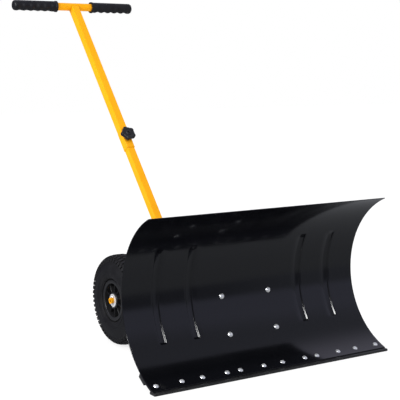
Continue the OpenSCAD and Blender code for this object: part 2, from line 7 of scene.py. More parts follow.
import bpy
import bmesh
import json
import math
import random
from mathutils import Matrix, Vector


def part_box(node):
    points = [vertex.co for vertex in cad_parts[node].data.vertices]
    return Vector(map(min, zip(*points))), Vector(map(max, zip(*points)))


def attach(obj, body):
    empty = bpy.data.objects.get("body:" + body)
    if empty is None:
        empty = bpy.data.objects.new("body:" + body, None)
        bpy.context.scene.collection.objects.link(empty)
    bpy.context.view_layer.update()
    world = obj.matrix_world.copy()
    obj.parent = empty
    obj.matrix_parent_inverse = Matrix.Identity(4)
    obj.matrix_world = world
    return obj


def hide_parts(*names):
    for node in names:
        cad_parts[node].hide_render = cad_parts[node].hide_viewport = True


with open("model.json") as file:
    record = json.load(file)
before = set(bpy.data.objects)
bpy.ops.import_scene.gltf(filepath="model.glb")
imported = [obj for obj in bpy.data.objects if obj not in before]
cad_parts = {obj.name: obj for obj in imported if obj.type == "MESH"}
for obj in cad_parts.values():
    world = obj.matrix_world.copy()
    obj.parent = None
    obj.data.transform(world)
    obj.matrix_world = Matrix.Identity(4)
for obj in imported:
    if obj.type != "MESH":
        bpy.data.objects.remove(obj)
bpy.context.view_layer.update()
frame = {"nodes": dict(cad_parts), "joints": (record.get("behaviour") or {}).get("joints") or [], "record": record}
joints = {joint["name"]: joint for joint in frame["joints"]}
body_of_node = {
    node: body
    for body, nodes in frame["record"]["behaviour"]["bodies"].items()
    for node in nodes
}
slot_of_node = {part["node"]: part["material_slot"] for part in frame["record"]["subparts"]}
random.seed(7)

MM = 0.001


def centre(node):
    """Middle of a CAD node's box."""
    low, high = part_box(node)
    return (low + high) / 2


# ---------- driving sizes ----------

# Blade sheet: an arc about an axis along X, with angle 0 at its deepest point and up positive
BLADE_R = 220 * MM
SHEET_T = 2 * MM
BLADE_TOP = math.radians(67.4)
BLADE_BOTTOM = math.radians(-71)
CORNER_R = 1.5 * MM
# Width of the row of faces along the sheet's borders
EDGE_BAND = 1 * MM

# Pressed ribs: half their width, the width of their sloping walls, and how deep they are pressed
RIB_X = (-275 * MM, -176 * MM, 176 * MM, 275 * MM)
RIB_HALF = 10 * MM
RIB_WALL = 3.5 * MM
RIB_DEPTH = 3.5 * MM
RIB_TOP = math.radians(30)
RIB_BOTTOM = math.radians(-36.4)
# Length of the slope at a rib's lower end and at its upper end
RIB_RISE = 7 * MM
RIB_FADE = 18 * MM
blade_low, blade_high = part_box("blade")
BLADE_HALF = (blade_high.x - blade_low.x) / 2
ARC_Y = blade_high.y - BLADE_R - SHEET_T - RIB_DEPTH
ARC_Z = blade_high.z - (BLADE_R + SHEET_T) * math.sin(BLADE_TOP)

# Wheels, measured from each wheel's own middle: radii, and distances out along the axle
tyre_low, tyre_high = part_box("left_tyre")
TYRE_R = (tyre_high.z - tyre_low.z) / 2
TYRE_HALF = (tyre_high.x - tyre_low.x) / 2
KNOB_ROWS = 54
RIM_R = 50 * MM
SEAT_X = 20 * MM
FLANGE_R = 57.8 * MM
FLANGE_X = 32.5 * MM
HUB_R = 22 * MM
HUB_X = 30 * MM
BEARING_R = 17.5 * MM
DISH_R = 47.5 * MM
WEB_X = 3 * MM
RIM_RIBS = 10

# Grips: they stop a little short of the CAD's sleeves at both ends
GRIP_SHORT = 3 * MM
GRIP_R = 17 * MM
GRIP_COLLAR = 5 * MM
GRIP_END_R = 9 * MM
FINGERS = 5
FINGER_DEPTH = 3.2 * MM
# How far each grip's finger hollows are turned forward from straight down, in degrees
GRIP_TURN = {"left": 50, "right": 15}

# Star knobs, against the CAD's
KNOB_SCALE = 1.06
KNOB_H = 14 * MM
# Height of the pole knob's underside above the middle of the pole
KNOB_SEAT = 18.25 * MM

# Collar sleeve, measured along the pole
COLLAR_LEN = 66 * MM
COLLAR_BELOW_KNOB = 44 * MM
COLLAR_PROUD = 0.5 * MM

# Strength of the white surround as fill light
FILL = 1.0
# Brightness of the floor, which is lit from below like a light table
FLOOR_GLOW = 0.78

# The pole's two directions, along it and out of its front face, and the crossbar
POLE_AXIS = Vector(joints["handle_extend"]["axis"]).normalized()
POLE_OUT = Vector(joints["pole_knob_turn"]["axis"]).normalized()
BAR = centre("crossbar")
BAR_R = 12.7 * MM


# ---------- mesh helpers ----------


def grid_faces(rows, cols, wrap_rows=False, wrap_cols=False):
    """Quads of a rows by cols grid of points, joined end to end where it wraps."""
    faces = []
    for r in range(rows if wrap_rows else rows - 1):
        for c in range(cols if wrap_cols else cols - 1):
            r2 = (r + 1) % rows
            c2 = (c + 1) % cols
            faces.append((r * cols + c, r * cols + c2, r2 * cols + c2, r2 * cols + c))
    return faces


def placed(points, origin, z_axis, x_axis=(1, 0, 0)):
    """Moves local points so that Z runs along z_axis from origin, with X as near x_axis as it can be."""
    z = Vector(z_axis).normalized()
    x = Vector(x_axis)
    x = (x - z * x.dot(z)).normalized()
    y = z.cross(x)
    return [Vector(origin) + x * p[0] + y * p[1] + z * p[2] for p in points]


def add_piece(name, points, faces, material, stands_for, sharp=40, body=None):
    """A mesh piece that rides with the CAD nodes it stands for, or with body when it is an extra detail."""
    mesh = bpy.data.meshes.new(name)
    mesh.from_pydata([tuple(p) for p in points], [], faces)
    work = bmesh.new()
    work.from_mesh(mesh)
    bmesh.ops.remove_doubles(work, verts=work.verts, dist=1e-6)
    bmesh.ops.recalc_face_normals(work, faces=work.faces)
    for face in work.faces:
        face.smooth = True
    for edge in work.edges:
        edge.smooth = len(edge.link_faces) != 2 or edge.calc_face_angle() < math.radians(sharp)
    work.to_mesh(mesh)
    work.free()
    obj = bpy.data.objects.new(name, mesh)
    bpy.context.scene.collection.objects.link(obj)
    mesh.materials.append(material)
    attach(obj, body or body_of_node[stands_for[0]])
    if stands_for:
        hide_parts(*stands_for)
    return obj


def add_bevel(obj, width, segments=2, angle=40):
    """Rounds the edges that turn by more than angle, in degrees."""
    bevel = obj.modifiers.new("edges", "BEVEL")
    bevel.width = width
    bevel.segments = segments
    bevel.limit_method = "ANGLE"
    bevel.angle_limit = math.radians(angle)
    return bevel


def turns(steps):
    """Angles evenly spaced round a circle."""
    return [2 * math.pi * i / steps for i in range(steps)]


def lathe(profile, steps):
    """Points and faces of a closed [radius, height] outline turned about Z."""
    points = []
    for turn in turns(steps):
        points += [(r * math.cos(turn), r * math.sin(turn), h) for r, h in profile]
    return points, grid_faces(steps, len(profile), wrap_rows=True, wrap_cols=True)


def arc(centre_r, centre_h, radius, start, end, steps):
    """Points of an arc in an outline, from start to end in degrees."""
    angles = [math.radians(start + (end - start) * i / steps) for i in range(steps + 1)]
    return [(centre_r + radius * math.cos(a), centre_h + radius * math.sin(a)) for a in angles]


def smooth_step(value):
    """Eases from 0 to 1 as value goes from 0 to 1."""
    value = max(0.0, min(1.0, value))
    return value * value * (3 - 2 * value)


def spaced(low, high, step):
    """Evenly spaced values from low to high, about step apart."""
    count = max(1, round((high - low) / step))
    return [low + (high - low) * i / count for i in range(count + 1)]


def merged_lines(lines, gap):
    """Sorted grid lines, without those closer together than gap."""
    kept = []
    for value in sorted(lines):
        if not kept or value - kept[-1] > gap:
            kept.append(value)
    return kept


# ---------- materials ----------


class NodeTree:
    """A node tree, with short calls for the two kinds of node that materials and the surround share."""

    def __init__(self, tree):
        self.nodes = tree.nodes
        self.links = tree.links

    def remap(self, source, low, high, out_low=0.0, out_high=1.0, smooth=False):
        node = self.nodes.new("ShaderNodeMapRange")
        if smooth:
            node.interpolation_type = "SMOOTHSTEP"
        node.inputs["From Min"].default_value = low
        node.inputs["From Max"].default_value = high
        node.inputs["To Min"].default_value = out_low
        node.inputs["To Max"].default_value = out_high
        self.links.new(source, node.inputs["Value"])
        return node.outputs["Result"]

    def mix(self, factor, first, second):
        node = self.nodes.new("ShaderNodeMix")
        node.data_type = "RGBA"
        self.links.new(factor, node.inputs["Factor"])
        for value, socket in ((first, node.inputs["A"]), (second, node.inputs["B"])):
            if isinstance(value, tuple):
                socket.default_value = (*value, 1.0)
            else:
                self.links.new(value, socket)
        return node.outputs["Result"]


class Shader(NodeTree):
    """A material's node tree, with short calls for the other kinds of node that the looks use."""

    def __init__(self, name, metallic=0.0):
        self.material = bpy.data.materials.new(name)
        self.material.use_nodes = True
        super().__init__(self.material.node_tree)
        self.surface = self.nodes["Principled BSDF"]
        self.surface.inputs["Metallic"].default_value = metallic
        self.place = self.nodes.new("ShaderNodeTexCoord").outputs["Object"]

    def stretched(self, scale):
        mapping = self.nodes.new("ShaderNodeMapping")
        mapping.inputs["Scale"].default_value = scale
        self.links.new(self.place, mapping.inputs["Vector"])
        return mapping.outputs["Vector"]

    def noise(self, scale, detail, distortion=0.0, place=None):
        node = self.nodes.new("ShaderNodeTexNoise")
        node.inputs["Scale"].default_value = scale
        node.inputs["Detail"].default_value = detail
        node.inputs["Distortion"].default_value = distortion
        self.links.new(place or self.place, node.inputs["Vector"])
        return node.outputs["Fac"]

    def cells(self, scale):
        node = self.nodes.new("ShaderNodeTexVoronoi")
        node.inputs["Scale"].default_value = scale
        self.links.new(self.place, node.inputs["Vector"])
        return node.outputs["Distance"]

    def multiply(self, a, b):
        node = self.nodes.new("ShaderNodeMath")
        node.operation = "MULTIPLY"
        self.links.new(a, node.inputs[0])
        self.links.new(b, node.inputs[1])
        return node.outputs["Value"]

    def add(self, a, b):
        node = self.nodes.new("ShaderNodeMath")
        node.operation = "ADD"
        node.use_clamp = True
        self.links.new(a, node.inputs[0])
        self.links.new(b, node.inputs[1])
        return node.outputs["Value"]

    def hollows(self, distance):
        """Near 1 in grooves and inside corners, where the surround reaches least; the yellow paint and zinc use it
        for painted shade, the tyres for dust.
        """
        node = self.nodes.new("ShaderNodeAmbientOcclusion")
        node.inputs["Distance"].default_value = distance
        node.samples = 4
        return self.remap(node.outputs["AO"], 0.35, 0.95, 1.0, 0.0)

    def bump(self, source, strength, distance, below=None):
        node = self.nodes.new("ShaderNodeBump")
        node.inputs["Strength"].default_value = strength
        node.inputs["Distance"].default_value = distance
        self.links.new(source, node.inputs["Height"])
        if below:
            self.links.new(below, node.inputs["Normal"])
        return node.outputs["Normal"]

    def finish(self, color, roughness, normal=None):
        self.links.new(color, self.surface.inputs["Base Color"])
        self.links.new(roughness, self.surface.inputs["Roughness"])
        if normal:
            self.links.new(normal, self.surface.inputs["Normal"])
        return self.material


def gloss_black_paint():
    """Powder coat on the pressed blade: mirror-like, with faint orange peel, rub marks and dust."""
    s = Shader("gloss_black_paint")
    s.surface.inputs["Specular IOR Level"].default_value = 0.5
    broad = s.noise(6, 3)
    peel = s.noise(420, 2)
    waves = s.noise(3.2, 1)
    rubs = s.noise(60, 5, 0.6, s.stretched((0.15, 1.0, 2.5)))
    rub_mask = s.remap(rubs, 0.60, 0.78, 0.0, 1.0)
    specks = s.remap(s.noise(1400, 2), 0.60, 0.72, 0.0, 1.0)
    dust = s.multiply(specks, s.remap(broad, 0.45, 0.75, 0.0, 0.5))
    color = s.mix(dust, (0.0022, 0.0024, 0.0034), (0.014, 0.014, 0.016))
    dulled = s.multiply(rub_mask, s.remap(broad, 0.3, 0.8, 0.02, 0.14))
    roughness = s.add(s.remap(broad, 0.3, 0.7, 0.10, 0.17), dulled)
    normal = s.bump(peel, 0.008, 0.0006, s.bump(waves, 0.10, 0.010))
    return s.finish(color, roughness, normal)


def yellow_paint():
    """Semi-gloss powder coat on the tubes and brackets, with painted shade in patches in its corners."""
    s = Shader("yellow_paint")
    s.surface.inputs["Specular IOR Level"].default_value = 0.11
    tone = s.noise(14, 4)
    peel = s.noise(600, 3)
    clean = s.mix(s.remap(tone, 0.3, 0.7, 0.0, 1.0), (0.87, 0.370, 0.002), (0.91, 0.400, 0.004))
    # Painted shade: a darker yellow laid in patches where the occlusion mask finds corners and hollows
    painted_corner_shade = s.multiply(s.hollows(0.012), s.remap(s.noise(90, 5), 0.35, 0.75, 0.1, 0.75))
    color = s.mix(painted_corner_shade, clean, (0.24, 0.105, 0.010))
    roughness = s.remap(s.noise(45, 4), 0.3, 0.7, 0.30, 0.44)
    return s.finish(color, roughness, s.bump(peel, 0.10, 0.0004))


def tyre_rubber():
    """Moulded tyre rubber: dusty in the grooves, with roughness that varies in random patches."""
    s = Shader("tyre_rubber")
    s.surface.inputs["Specular IOR Level"].default_value = 0.25
    tone = s.noise(26, 5)
    grain = s.noise(900, 4)
    dust = s.multiply(s.hollows(0.010), s.remap(s.noise(140, 5), 0.3, 0.7, 0.2, 0.9))
    rubber = s.mix(s.remap(tone, 0.3, 0.7, 0.0, 1.0), (0.003, 0.003, 0.0045), (0.007, 0.007, 0.009))
    color = s.mix(dust, rubber, (0.016, 0.0155, 0.016))
    roughness = s.remap(tone, 0.3, 0.7, 0.52, 0.70)
    return s.finish(color, roughness, s.bump(grain, 0.22, 0.0005))


def grip_rubber():
    """Soft black grip with a fine moulded grain, with roughness that varies in random patches."""
    s = Shader("grip_rubber")
    s.surface.inputs["Specular IOR Level"].default_value = 0.3
    tone = s.noise(40, 4)
    grain = s.cells(900)
    color = s.mix(s.remap(tone, 0.3, 0.7, 0.0, 1.0), (0.005, 0.005, 0.007), (0.010, 0.010, 0.0125))
    roughness = s.remap(s.noise(22, 3), 0.3, 0.7, 0.42, 0.62)
    return s.finish(color, roughness, s.bump(grain, 0.25, 0.0004))


def black_plastic():
    """Moulded plastic with a spark-eroded grain and slight flow marks."""
    s = Shader("black_plastic")
    flow = s.noise(18, 3, 1.2)
    grain = s.noise(1300, 3)
    color = s.mix(s.remap(flow, 0.3, 0.7, 0.0, 1.0), (0.005, 0.005, 0.006), (0.010, 0.010, 0.012))
    roughness = s.remap(flow, 0.3, 0.7, 0.36, 0.50)
    return s.finish(color, roughness, s.bump(grain, 0.16, 0.0004))


def scraper_polymer():
    """Satin polyurethane, scuffed along the way it slides."""
    s = Shader("scraper_polymer")
    scuffs = s.noise(70, 6, 0.4, s.stretched((4.0, 0.25, 0.25)))
    mask = s.remap(scuffs, 0.52, 0.74, 0.0, 1.0)
    color = s.mix(mask, (0.010, 0.010, 0.011), (0.035, 0.035, 0.036))
    roughness = s.remap(mask, 0.0, 1.0, 0.34, 0.58)
    return s.finish(color, roughness, s.bump(scuffs, 0.20, 0.0004))


def zinc_plate(name, metallic, smoothest, roughest):
    """Bright zinc plate with a cloudy crystal pattern and painted shade in its hollows."""
    s = Shader(name, metallic)
    crystals = s.cells(260)
    cloud = s.noise(120, 4)
    bright = s.mix(s.remap(crystals, 0.1, 0.7, 0.0, 1.0), (0.86, 0.87, 0.88), (0.72, 0.74, 0.77))
    # Painted shade: the zinc goes dark grey in patches where the occlusion mask finds hollows
    painted_hollow_shade = s.multiply(s.hollows(0.004), s.remap(cloud, 0.3, 0.7, 0.3, 0.9))
    color = s.mix(painted_hollow_shade, bright, (0.22, 0.21, 0.20))
    roughness = s.remap(cloud, 0.3, 0.7, smoothest, roughest)
    return s.finish(color, roughness, s.bump(cloud, 0.10, 0.0003))


def black_oxide():
    """Blackened steel of the rim's bolts, with a thin film of oil."""
    s = Shader("black_oxide", metallic=0.7)
    cloud = s.noise(160, 4)
    color = s.mix(s.remap(cloud, 0.3, 0.7, 0.0, 1.0), (0.020, 0.020, 0.022), (0.055, 0.052, 0.050))
    return s.finish(color, s.remap(cloud, 0.3, 0.7, 0.30, 0.48), s.bump(cloud, 0.12, 0.0003))


def turned_brass():
    """Turned brass with fine tool rings."""
    s = Shader("turned_brass", metallic=1.0)
    rings = s.noise(500, 2, 0.0, s.stretched((0.2, 0.2, 6.0)))
    color = s.mix(s.remap(rings, 0.3, 0.7, 0.0, 1.0), (0.55, 0.36, 0.10), (0.75, 0.52, 0.20))
    return s.finish(color, s.remap(rings, 0.3, 0.7, 0.22, 0.36), s.bump(rings, 0.15, 0.0002))


looks = {
    "blade_paint": gloss_black_paint(),
    "yellow_paint": yellow_paint(),
    "tyre_rubber": tyre_rubber(),
    "tube_rubber": tyre_rubber(),
    "grip_rubber": grip_rubber(),
    "black_plastic": black_plastic(),
    "scraper_polymer": scraper_polymer(),
    "zinc_steel": zinc_plate("zinc_plate", 0.5, 0.20, 0.38),
    "black_steel": black_oxide(),
    "brass": turned_brass(),
}
# The round bolt heads on the blade are brighter than the rest of the zinc
BRIGHT_BOLTS = ("scraper_bolts", "bracket_bolts")
bolt_zinc = zinc_plate("polished_zinc", 0.62, 0.18, 0.32)


# ---------- CAD nodes ----------

# Points closer than this are joined before an edge is softened
WELD_GAP = 0.01 * MM


def finish_cad_nodes(edge=0.5 * MM, edge_share=0.06):
    """Gives each CAD node its finish, softens its edges and evens out its shading.

    The softened edge is at most edge_share of the node's thinnest side. The mesh itself isn't changed.
    """
    for name, obj in frame["nodes"].items():
        slot = slot_of_node[name]
        obj.data.materials.clear()
        obj.data.materials.append(bolt_zinc if name in BRIGHT_BOLTS else looks[slot])
        weld = obj.modifiers.new("weld", "WELD")
        weld.merge_threshold = WELD_GAP
        low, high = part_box(name)
        add_bevel(obj, min(edge, edge_share * min(high - low)), 2, 35)
        normals = obj.modifiers.new("normals", "WEIGHTED_NORMAL")
        normals.keep_sharp = True


# ---------- blade ----------


def rib_depth_at(x, angle):
    """How far the sheet is pressed backwards at a point of the blade."""
    depth = 0.0
    for rib_x in RIB_X:
        across = smooth_step((RIB_HALF - abs(x - rib_x)) / RIB_WALL)
        rise = smooth_step((angle - RIB_BOTTOM) * BLADE_R / RIB_RISE)
        fade = smooth_step((RIB_TOP - angle) * BLADE_R / RIB_FADE)
        depth = max(depth, RIB_DEPTH * across * rise * fade)
    return depth


def blade_point(angle, x, radius):
    """A point of the blade's arc, at an angle and a place across it."""
    return Vector((x, ARC_Y + radius * math.cos(angle), ARC_Z + radius * math.sin(angle)))


def corner_inset(angle):
    """How far the sheet's side edge draws in near its rounded top corner."""
    from_top = (BLADE_TOP - angle) * BLADE_R
    if from_top >= CORNER_R:
        return 0.0
    return CORNER_R - math.sqrt(CORNER_R**2 - (CORNER_R - from_top) ** 2)


def make_blade():
    """The pressed sheet: a front and a back face on one grid, joined by a rounded edge."""
    x_lines = spaced(-BLADE_HALF, BLADE_HALF, 20 * MM)
    x_lines += [-BLADE_HALF + EDGE_BAND, BLADE_HALF - EDGE_BAND]
    for rib_x in RIB_X:
        for side in (-1, 1):
            wall = rib_x + side * (RIB_HALF - RIB_WALL / 2)
            x_lines += spaced(wall - RIB_WALL / 2, wall + RIB_WALL / 2, RIB_WALL / 6)
    x_lines = merged_lines(x_lines, 0.3 * MM)
    angle_lines = spaced(BLADE_BOTTOM, BLADE_TOP, math.radians(1.0))
    angle_lines += [BLADE_BOTTOM + EDGE_BAND / BLADE_R, BLADE_TOP - EDGE_BAND / BLADE_R]
    for start, length in ((RIB_BOTTOM, RIB_RISE), (RIB_TOP - RIB_FADE / BLADE_R, RIB_FADE)):
        angle_lines += spaced(start, start + length / BLADE_R, length / BLADE_R / 8)
    corner = CORNER_R / BLADE_R
    angle_lines += [BLADE_TOP - corner * (1 - math.cos(math.radians(t))) for t in range(0, 91, 10)]
    closest = 0.0004  # radians
    angle_lines = merged_lines(angle_lines, closest)
    angle_lines[-1] = BLADE_TOP

    # How far the flat faces stop short of the rounded edge
    rim = SHEET_T * 0.3
    points = []
    for radius in (BLADE_R, BLADE_R + SHEET_T):
        for angle in angle_lines:
            half = BLADE_HALF - rim - corner_inset(angle)
            edge_angle = max(BLADE_BOTTOM + rim / BLADE_R, min(BLADE_TOP - rim / BLADE_R, angle))
            for x in x_lines:
                depth = rib_depth_at(x, angle)
                points.append(blade_point(edge_angle, x / BLADE_HALF * half, radius + depth))
    rows, cols = len(angle_lines), len(x_lines)
    front = grid_faces(rows, cols)
    back = [tuple(i + rows * cols for i in reversed(face)) for face in front]

    # The sheet's border, once round its grid, and the rounded edge outside it
    loop = list(range(cols))
    loop += [r * cols + cols - 1 for r in range(1, rows)]
    loop += [(rows - 1) * cols + c for c in range(cols - 2, -1, -1)]
    loop += [r * cols for r in range(rows - 2, 0, -1)]
    base = len(points)
    for index in loop:
        angle = angle_lines[index // cols]
        side = x_lines[index % cols] / BLADE_HALF
        half = BLADE_HALF - corner_inset(angle)
        points.append(blade_point(angle, side * half, BLADE_R + SHEET_T / 2))
    edge = []
    for i, index in enumerate(loop):
        j = (i + 1) % len(loop)
        edge.append((index, loop[j], base + j, base + i))
        edge.append((base + i, base + j, loop[j] + rows * cols, index + rows * cols))
    add_piece("blade_sheet", points, front + back + edge, looks["blade_paint"], ["blade"], sharp=75)


# ---------- wheels ----------

# The section is a superellipse of this power
TYRE_POWER = 3.0
TYRE_FOOT_R = RIM_R + 2 * MM


def tyre_point(angle, inset):
    """[radius, width] of the tyre's squared-off section, from the middle of the tread (0) to the rim."""
    middle = (TYRE_R + TYRE_FOOT_R) / 2
    half_r = (TYRE_R - TYRE_FOOT_R) / 2

    def squared(value):
        """A sine or cosine, bent so that a circle comes out squarer."""
        return math.copysign(abs(value) ** (2 / TYRE_POWER), value)

    turn = math.radians(angle)
    return (
        middle + (half_r - inset) * squared(math.cos(turn)),
        (TYRE_HALF - inset) * squared(math.sin(turn)),
    )


# Bands of the tread, by section angle in degrees: start, end, and how far round it is staggered
TREAD_BANDS = (
    (-66, -45, 0.0),
    (-40, -16, 0.5),
    (-12, 12, 0.0),
    (16, 40, 0.5),
    (45, 66, 0.0),
)
TREAD_H = 4.5 * MM
# A knob's length and the slope of its ends, as shares of one pitch; the slope of its sides, in degrees
KNOB_SHARE = 0.64
KNOB_RAMP = 0.05
BAND_RAMP = 2.0
# The grooves fade out over this many degrees, up to this section angle
GROOVE_END = 100
GROOVE_FADE = 26
# Section angles of the smooth side walls' grid lines, and of the raised rings on them
WALL_ANGLES = (72, 80, 88, 96, 104, 112, 120, 130)
RING_ANGLES = (102, 122)


def knob_height(angle, part):
    """Height of the tread above its grooves: part is the share of one knob pitch round the tyre."""
    for start, end, stagger in TREAD_BANDS:
        across = min(angle - start, end - angle) / BAND_RAMP
        if across < 0:
            continue
        here = (part + stagger) % 1.0
        along = min(here, KNOB_SHARE - here) / KNOB_RAMP
        return TREAD_H * max(0.0, min(1.0, across)) * max(0.0, min(1.0, along))
    return 0.0


def make_tyre(side):
    """Knobby tyre: its section angle runs from bead to bead, and every knob's edge has its own grid line."""
    angle_lines = [-angle for angle in reversed(WALL_ANGLES)]
    for start, end, _ in TREAD_BANDS:
        angle_lines += [start, start + BAND_RAMP, (start + end) / 2, end - BAND_RAMP, end]
    angle_lines += WALL_ANGLES
    parts = set()
    for stagger in (0.0, 0.5):
        for edge in (0.0, KNOB_RAMP, KNOB_SHARE - KNOB_RAMP, KNOB_SHARE):
            parts.add(round((edge - stagger) % 1.0, 4))
    parts = sorted(parts)
    beads = [
        (FLANGE_R + 3.6 * MM, FLANGE_X + 1.5 * MM),
        (FLANGE_R + 2.6 * MM, FLANGE_X - 5 * MM),
        (RIM_R + 1 * MM, SEAT_X),
    ]
    sections = []
    for pitch in range(KNOB_ROWS):
        for part in parts:
            outline = [(r, -x) for r, x in reversed(beads)]
            for angle in angle_lines:
                groove = TREAD_H * smooth_step((GROOVE_END - abs(angle)) / GROOVE_FADE)
                outline.append(tyre_point(angle, groove - min(knob_height(angle, part), groove)))
            outline += beads
            turn = 2 * math.pi * (pitch + part) / KNOB_ROWS
            sections.append([(x, r * math.cos(turn), r * math.sin(turn)) for r, x in outline])
    middle = centre(side + "_tyre")
    points = [middle + Vector(p) for section in sections for p in section]
    faces = grid_faces(len(sections), len(sections[0]), wrap_rows=True)
    tyre = add_piece(side + "_tyre_tread", points, faces, looks["tyre_rubber"], [side + "_tyre"], sharp=32)
    add_bevel(tyre, 0.5 * MM, 1, 32)


def side_wall_rings(side):
    """Thin raised rings moulded round the tyre's outer and inner walls."""
    middle = centre(side + "_tyre")
    points, faces = [], []
    for face_sign in (-1, 1):
        for angle in RING_ANGLES:
            r, x = tyre_point(angle, 0.2 * MM)
            ring, quads = lathe([(r + a, x + b) for a, b in arc(0, 0, 0.9 * MM, 0, 315, 7)], 120)
            ring = placed(ring, middle, (face_sign, 0, 0), (0, 1, 0))
            faces += [tuple(i + len(points) for i in quad) for quad in quads]
            points += ring
    add_piece(side + "_tyre_rings", points, faces, looks["tyre_rubber"], (), body=side + "_wheel")


def rim_half_profile():
    """Outline of half a rim, as [radius, distance out from the wheel's middle]: hub, web, dish and lip."""
    lip_r = 1.6 * MM
    lip_x = FLANGE_X - lip_r
    bore_r, bearing_x, joint_x = 11 * MM, 19 * MM, 0.1 * MM
    outline = [(bore_r, joint_x), (bore_r, bearing_x), (BEARING_R, bearing_x), (BEARING_R, HUB_X - 0.6 * MM)]
    outline += [(BEARING_R + 0.6 * MM, HUB_X), (HUB_R - 1 * MM, HUB_X)]
    outline += arc(HUB_R - 1 * MM, HUB_X - 1 * MM, 1 * MM, 80, 0, 3)
    outline += arc(HUB_R + 2 * MM, WEB_X + 2 * MM, 2 * MM, 180, 270, 4)
    outline += arc(DISH_R - 3 * MM, WEB_X + 3 * MM, 3 * MM, -90, 0, 4)
    outline += arc(DISH_R + lip_r, lip_x, lip_r, 180, 90, 4)
    outline += arc(FLANGE_R - lip_r, lip_x, lip_r, 90, 0, 4)
    outline += [(FLANGE_R, SEAT_X + 2 * MM), (RIM_R, SEAT_X), (RIM_R, joint_x)]
    return outline


def rim_rib(turn):
    """One radial rib of a rim, thicker at its root, as a closed block of points and faces."""
    root, top = 1.5 * MM, 0.9 * MM
    low = WEB_X - 1 * MM
    points = []
    for r, high in ((HUB_R - 1 * MM, HUB_X - 3 * MM), (DISH_R + 0.5 * MM, FLANGE_X - 6 * MM)):
        points += [(r, -root, low), (r, root, low), (r, top, high), (r, -top, high)]
    c, s = math.cos(turn), math.sin(turn)
    points = [(x * c - y * s, x * s + y * c, z) for x, y, z in points]
    faces = [(0, 1, 2, 3), (7, 6, 5, 4)]
    faces += [(i, i + 4, (i + 1) % 4 + 4, (i + 1) % 4) for i in range(4)]
    return points, faces


def make_rim(side):
    """Both halves of a rim, each a turned dish with its radial ribs."""
    middle = centre(side + "_tyre")
    outward = math.copysign(1, middle.x)
    for half, direction in (("outer", outward), ("inner", -outward)):
        points, faces = lathe(rim_half_profile(), 120)
        for i in range(RIM_RIBS):
            rib_points, rib_faces = rim_rib(2 * math.pi * i / RIM_RIBS)
            faces += [tuple(j + len(points) for j in face) for face in rib_faces]
            points += rib_points
        points = placed(points, middle, (direction, 0, 0), (0, 0, -1))
        node = side + "_rim_" + half
        rim = add_piece(node + "_dish", points, faces, looks["black_plastic"], [node], sharp=35)
        add_bevel(rim, 0.5 * MM, 2, 50)


# ---------- handle ----------


def make_grip(side):
    """Moulded grip: a rounded end, a low collar at its inner end and hollows for the fingers underneath."""
    low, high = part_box(side + "_grip")
    outward = math.copysign(1, (low + high).x)
    start = min(abs(low.x), abs(high.x)) + GRIP_SHORT
    length = high.x - low.x - 2 * GRIP_SHORT
    first_finger, last_finger = 16 * MM, length - 12 * MM
    forward = math.radians(GRIP_TURN[side])
    around = 56

    def ring(station, radius_at):
        """Points round the bar, station along it from the grip's inner end."""
        x = outward * (start + station)
        round_points = []
        for turn in turns(around):
            r = radius_at(turn)
            round_points.append(Vector((x, BAR.y + r * math.sin(turn), BAR.z - r * math.cos(turn))))
        return round_points

    def outer_radius(station, turn):
        """Radius of the outside, where turn 0 is straight down."""
        base = GRIP_R
        from_end = length - station
        if from_end < GRIP_END_R:
            base -= 6 * MM * (1 - math.sqrt(max(0.0, 1 - (1 - from_end / GRIP_END_R) ** 2)))
        collar_edge = GRIP_COLLAR + 2 * MM
        if station < collar_edge:
            base += 1.5 * MM * smooth_step((collar_edge - station) / (2 * MM))
        wave = 0.0
        if first_finger < station < last_finger:
            share = (station - first_finger) / (last_finger - first_finger)
            wave = (1 - math.cos(2 * math.pi * FINGERS * share)) / 2
        # 1 in the middle of the finger hollows, and 0 on the far side, where fine ribs take over
        down = smooth_step((math.cos(turn + forward) + 0.15) / 1.1)
        ribs = 0.0
        if GRIP_COLLAR < station < last_finger:
            ribs = 0.25 * MM * math.cos(2 * math.pi * station / (2.6 * MM))
        return base - FINGER_DEPTH * wave * down + ribs * (1 - down)

    stations = spaced(0, length - GRIP_END_R, 1.3 * MM)
    stations += [length - GRIP_END_R * (1 - math.sin(math.radians(t))) for t in range(6, 91, 6)]
    points = ring(0.2 * MM, lambda turn: BAR_R)
    points += ring(0, lambda turn: GRIP_R - 0.5 * MM)
    for station in stations:
        points += ring(station, lambda turn: outer_radius(station, turn))
    points += ring(length - 0.4 * MM, lambda turn: 4 * MM)
    rows = len(points) // around
    faces = grid_faces(rows, around, wrap_cols=True)
    faces.append(tuple(range((rows - 1) * around, rows * around)))
    add_piece(side + "_grip_rubber", points, faces, looks["grip_rubber"], [side + "_grip"], sharp=50)


def square_ring(half, corner, steps=6):
    """Points round a square with rounded corners."""
    ring = []
    for i, (x, y) in enumerate(((1, 1), (-1, 1), (-1, -1), (1, -1))):
        for j in range(steps + 1):
            turn = math.radians(90 * (i + j / steps))
            inner = half - corner
            ring.append((x * inner + corner * math.cos(turn), y * inner + corner * math.sin(turn)))
    return ring


def make_collar():
    """Thin sleeve at the foot of the upper pole, with its lower edge rolled in."""
    pole_low, pole_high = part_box("upper_pole")
    half = (pole_high.x - pole_low.x) / 2
    foot = Vector(joints["pole_knob_turn"]["pos_m"]) - POLE_AXIS * COLLAR_BELOW_KNOB
    outer = half + COLLAR_PROUD
    inner = half - 1.1 * MM
    rows = [(COLLAR_LEN, half - 0.3 * MM), (COLLAR_LEN, half + 0.3 * MM), (COLLAR_LEN - 0.4 * MM, outer)]
    rows += [(1 * MM, outer), (0.3 * MM, half + 0.2 * MM), (0, half - 0.6 * MM), (0, inner), (3 * MM, inner)]
    points = []
    for height, reach in rows:
        points += [(x, y, height) for x, y in square_ring(reach, 3 * MM)]
    faces = grid_faces(len(rows), len(points) // len(rows), wrap_cols=True)
    points = placed(points, foot, POLE_AXIS)
    add_piece("pole_collar_sleeve", points, faces, looks["yellow_paint"], ["pole_collar"], sharp=50)


